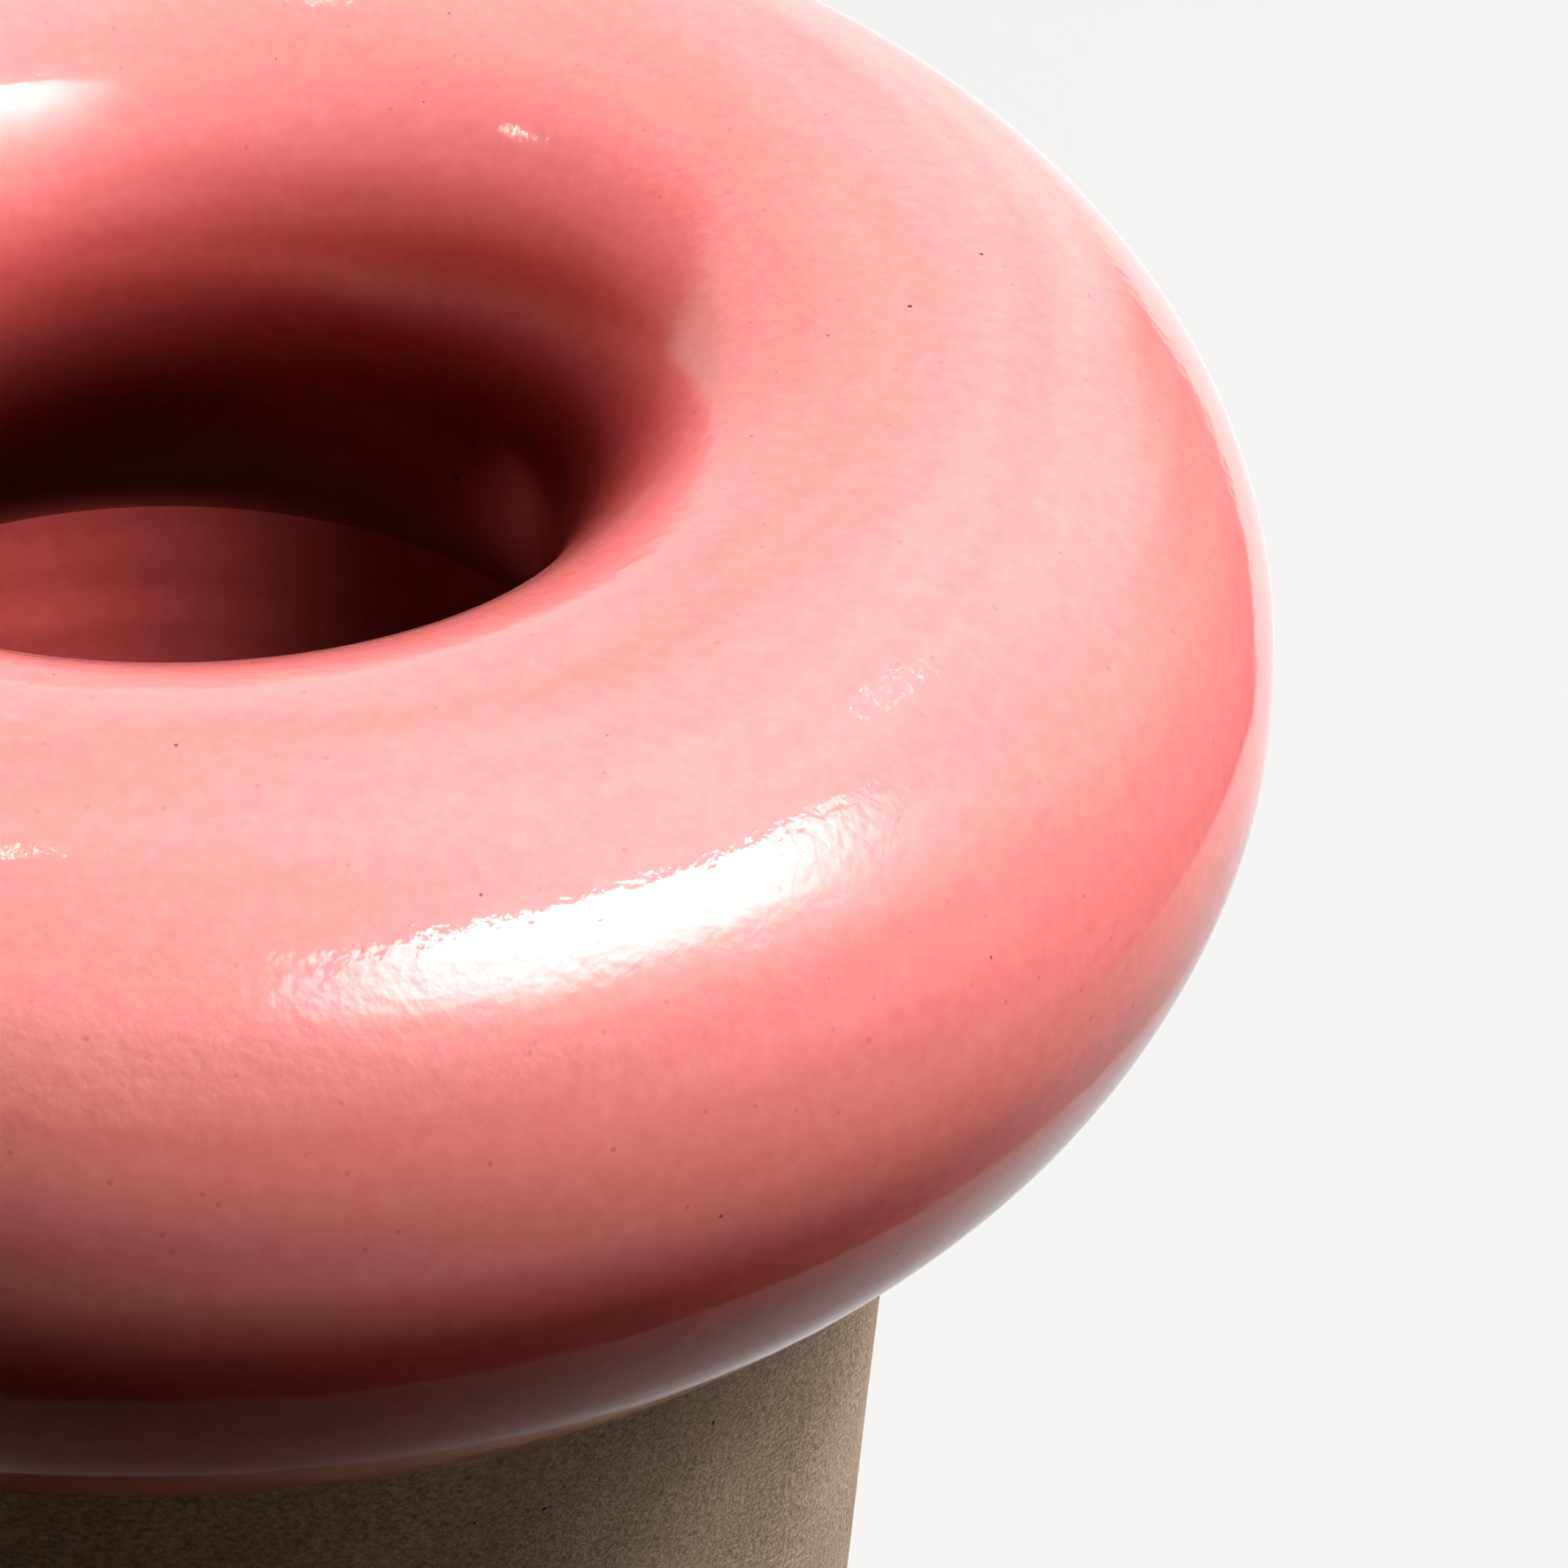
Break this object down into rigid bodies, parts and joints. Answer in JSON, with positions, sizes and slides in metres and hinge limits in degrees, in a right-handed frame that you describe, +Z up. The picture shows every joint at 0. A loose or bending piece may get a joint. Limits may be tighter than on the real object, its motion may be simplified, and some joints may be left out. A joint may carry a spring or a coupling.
{
  "type": "donut vase",
  "caption": "Stoneware flower vase: a fat glossy pink glazed ring luted on a straight bare clay cylinder, open through the ring's hole into a glazed water well.",
  "frame": {"origin": "centre of the foot, on the plane of the table", "axes": "+Z up the vase's axis, -Y towards the viewer of the picture, +X to the right"},
  "size_m": [0.2, 0.2, 0.2],
  "materials": {
    "bare_stoneware": "fired bare, fine sandy grog, matte",
    "luting_slip": "fired bare, sponged smooth, matte",
    "pink_glaze": "glossy pink glaze with sparse dark specks",
    "pink_liner": "glossy pink liner glaze, poured"
  },
  "bodies": {
    "root": {"base_cylinder": "bare_stoneware", "donut_ring": "bare_stoneware", "joint_slip": "luting_slip", "ring_glaze": "pink_glaze", "liner_glaze": "pink_liner"}
  },
  "joints": []
}
